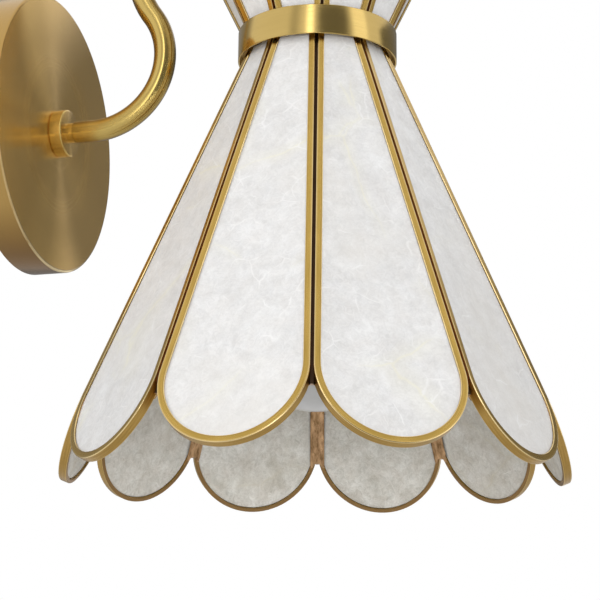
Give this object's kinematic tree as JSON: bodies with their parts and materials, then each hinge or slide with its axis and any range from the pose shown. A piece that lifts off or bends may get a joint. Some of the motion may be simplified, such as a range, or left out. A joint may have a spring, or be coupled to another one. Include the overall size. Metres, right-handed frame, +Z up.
{
  "type": "wall sconce",
  "caption": "Wall light with a round backplate, a gooseneck arm and an hourglass shade of framed flat shell petals gathered by a plain band.",
  "frame": {"origin": "middle of the wall plate's open back, in the plane of the wall, which is also the middle of the wall strap's slots", "axes": "+Z up, -Y into the room, +X to the left of someone who faces the wall; the arm lies in the plane X = 0"},
  "size_m": [0.212, 0.2435, 0.2909],
  "materials": {
    "satin_brass": "satin, fine turning lines",
    "brushed_brass": "brushed round the band",
    "frame_brass": "satin, brighter along its arrises",
    "raw_brass": "as turned",
    "solder": "brass-toned solder",
    "zinc_steel": "zinc plated",
    "green_screw": "green earth screw",
    "shell": "pearly flat shell with fine cracks and streaks",
    "white_ceramic": "glazed",
    "contact_metal": "plain",
    "cap_metal": "satin",
    "frosted_glass": "frosted white"
  },
  "bodies": {
    "fixture": {"backplate": "satin_brass", "mounting_bracket": "zinc_steel", "side_screws": "satin_brass", "ground_screw": "green_screw", "hex_nuts": "raw_brass", "lock_washers": "zinc_steel", "arm_nipple": "raw_brass", "arm_boss": "satin_brass", "arm_tube": "satin_brass", "stem_ferrule": "satin_brass", "stem_nipple": "raw_brass", "waist_plate": "satin_brass", "waist_collar": "brushed_brass", "solder_beads": "solder", "socket_spacer": "satin_brass", "socket_cup": "satin_brass", "socket_body": "white_ceramic", "socket_contacts": "contact_metal", "skirt_frame_01": "frame_brass", "skirt_panel_01": "shell", "skirt_frame_02": "frame_brass", "skirt_panel_02": "shell", "skirt_frame_03": "frame_brass", "skirt_panel_03": "shell", "skirt_frame_04": "frame_brass", "skirt_panel_04": "shell", "skirt_frame_05": "frame_brass", "skirt_panel_05": "shell", "skirt_frame_06": "frame_brass", "skirt_panel_06": "shell", "skirt_frame_07": "frame_brass", "skirt_panel_07": "shell", "skirt_frame_08": "frame_brass", "skirt_panel_08": "shell", "skirt_frame_09": "frame_brass", "skirt_panel_09": "shell", "skirt_frame_10": "frame_brass", "skirt_panel_10": "shell", "crown_frame_01": "frame_brass", "crown_panel_01": "shell", "crown_frame_02": "frame_brass", "crown_panel_02": "shell", "crown_frame_03": "frame_brass", "crown_panel_03": "shell", "crown_frame_04": "frame_brass", "crown_panel_04": "shell", "crown_frame_05": "frame_brass", "crown_panel_05": "shell", "crown_frame_06": "frame_brass", "crown_panel_06": "shell", "crown_frame_07": "frame_brass", "crown_panel_07": "shell", "crown_frame_08": "frame_brass", "crown_panel_08": "shell", "crown_frame_09": "frame_brass", "crown_panel_09": "shell", "crown_frame_10": "frame_brass", "crown_panel_10": "shell"},
    "bulb": {"bulb_glass": "frosted_glass", "bulb_cap": "cap_metal"}
  },
  "joints": [
    {"name": "bulb_out", "type": "slide", "parent": "fixture", "child": "bulb", "axis": [0, 0, -1], "range_m": [0, 0.15]}
  ]
}
